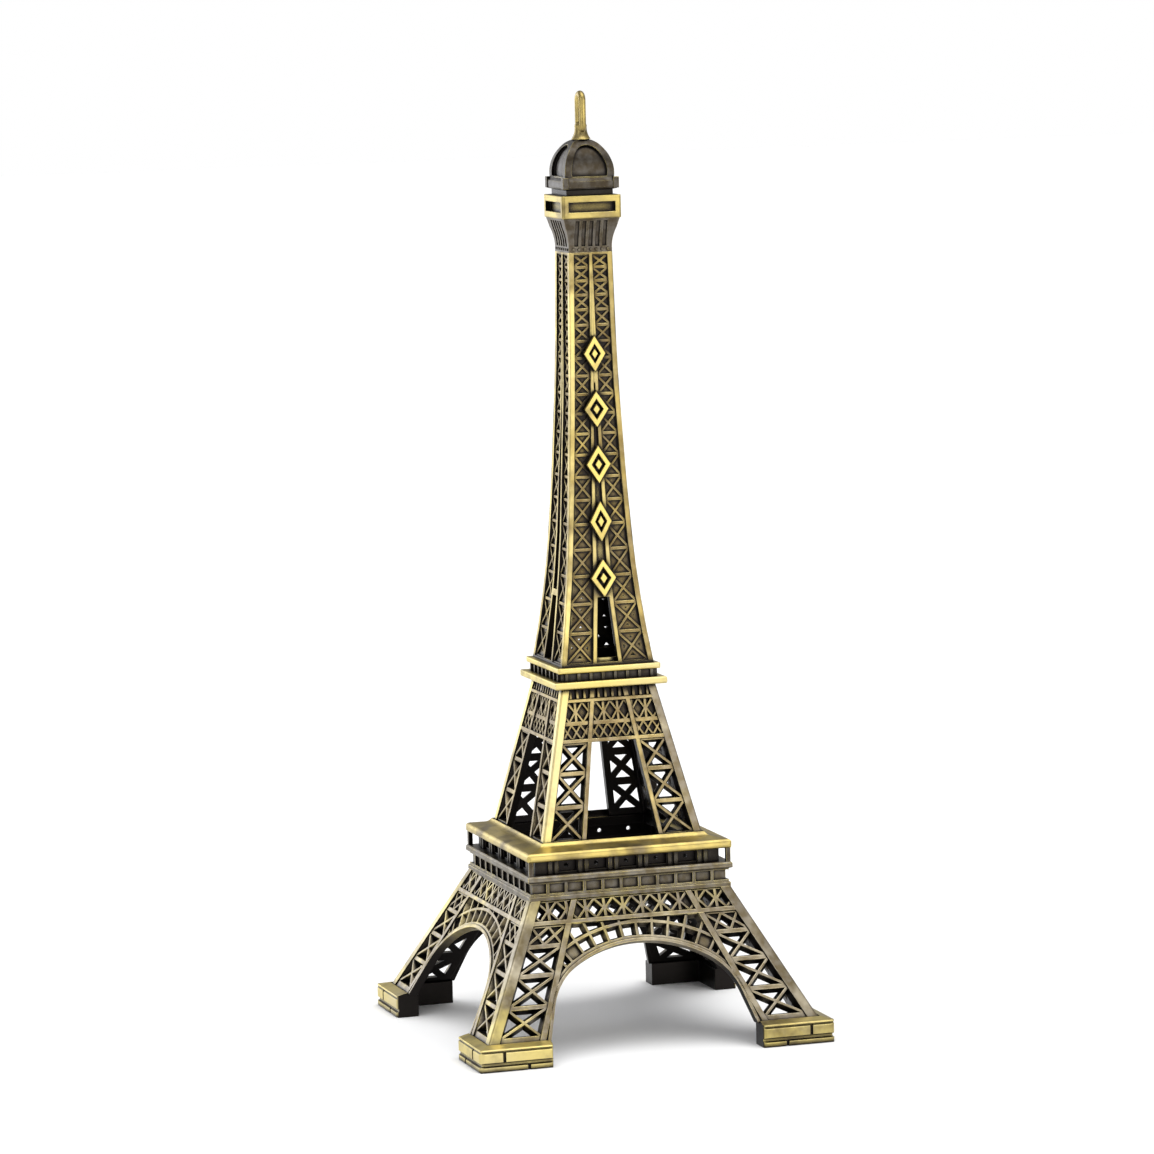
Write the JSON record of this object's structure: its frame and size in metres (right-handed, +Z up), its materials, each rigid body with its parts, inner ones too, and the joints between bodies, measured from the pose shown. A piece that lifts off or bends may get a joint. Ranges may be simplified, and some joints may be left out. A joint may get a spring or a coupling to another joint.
{
  "type": "miniature landmark model",
  "caption": "Souvenir model of a four-legged open lattice tower with arches, two square platforms, a tapering column, a dome and a hanging loop.",
  "frame": {"origin": "centre of the square that the four feet stand on, at the level of their undersides", "axes": "+Z up the tower; the face with the raised ornaments looks towards -Y"},
  "size_m": [0.0586, 0.0586, 0.15],
  "materials": {
    "antique_brass": "antique bronze plating, dark in the recesses and rubbed bright on the bars",
    "worn_brass": "antique bronze plating rubbed bright on edges and broad faces",
    "dark_patina": "antique bronze plating left dark"
  },
  "bodies": {
    "root": {"back_arch": "antique_brass", "back_girder": "antique_brass", "back_leg_lattice_left": "antique_brass", "back_leg_lattice_right": "antique_brass", "back_upper_girder": "antique_brass", "back_upper_leg_lattice_left": "antique_brass", "back_upper_leg_lattice_right": "antique_brass", "balcony_ring": "dark_patina", "cabin": "worn_brass", "cap_plate": "worn_brass", "column_rosettes": "worn_brass", "column_wall_back": "antique_brass", "column_wall_front": "antique_brass", "column_wall_left": "antique_brass", "column_wall_right": "antique_brass", "deck_plate": "worn_brass", "dome": "dark_patina", "foot_plinth_back_left": "worn_brass", "foot_plinth_back_right": "worn_brass", "foot_plinth_front_left": "worn_brass", "foot_plinth_front_right": "worn_brass", "frieze_ring": "antique_brass", "front_arch": "antique_brass", "front_girder": "antique_brass", "front_leg_lattice_left": "antique_brass", "front_leg_lattice_right": "antique_brass", "front_upper_girder": "antique_brass", "front_upper_leg_lattice_left": "antique_brass", "front_upper_leg_lattice_right": "antique_brass", "gallery_pillars": "worn_brass", "gallery_ring": "dark_patina", "hanging_loop": "worn_brass", "left_arch": "antique_brass", "left_girder": "antique_brass", "left_leg_lattice_left": "antique_brass", "left_leg_lattice_right": "antique_brass", "left_upper_girder": "antique_brass", "left_upper_leg_lattice_left": "antique_brass", "left_upper_leg_lattice_right": "antique_brass", "leg_post_back_left": "worn_brass", "leg_post_back_right": "worn_brass", "leg_post_front_left": "worn_brass", "leg_post_front_right": "worn_brass", "neck": "dark_patina", "right_arch": "antique_brass", "right_girder": "antique_brass", "right_leg_lattice_left": "antique_brass", "right_leg_lattice_right": "antique_brass", "right_upper_girder": "antique_brass", "right_upper_leg_lattice_left": "antique_brass", "right_upper_leg_lattice_right": "antique_brass", "shelf_plate": "worn_brass", "upper_post_back_left": "worn_brass", "upper_post_back_right": "worn_brass", "upper_post_front_left": "worn_brass", "upper_post_front_right": "worn_brass"}
  },
  "joints": []
}
